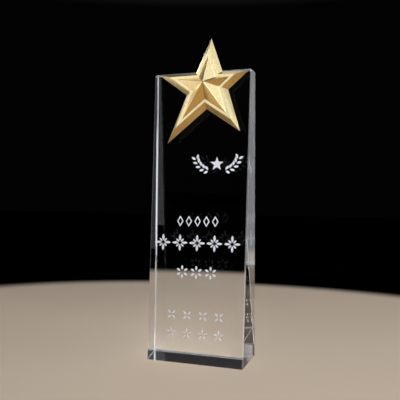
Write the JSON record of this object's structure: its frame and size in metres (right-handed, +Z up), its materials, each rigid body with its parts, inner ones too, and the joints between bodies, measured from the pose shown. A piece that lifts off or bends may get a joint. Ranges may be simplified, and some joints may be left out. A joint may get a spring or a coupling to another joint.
{
  "type": "star trophy",
  "caption": "Clear crystal wedge trophy with a faceted gold star bonded across the top of its leaning front and white filled ornament engraved below.",
  "frame": {"origin": "centre of the flat face the trophy stands on", "axes": "+Z up, the leaning front faces -Y, +X is to the right of someone who faces the front"},
  "size_m": [0.084, 0.0344, 0.2626],
  "materials": {
    "crystal": "clear optical crystal, polished faces and finely ground chamfers",
    "gold_plate": "satin gold plating over a die casting",
    "adhesive": "clear ultraviolet-cured adhesive",
    "enamel": "matt white enamel in sandblasted engraving",
    "thin_enamel": "thin matt white enamel in shallow sandblasted engraving"
  },
  "bodies": {
    "root": {"crystal_block": "crystal", "star_casting": "gold_plate", "star_adhesive": "adhesive", "emblem_infill": "enamel", "diamond_row_infill": "enamel", "title_row_infill": "enamel", "name_row_infill": "enamel", "upper_motto_infill": "thin_enamel", "lower_motto_infill": "thin_enamel"}
  },
  "joints": []
}
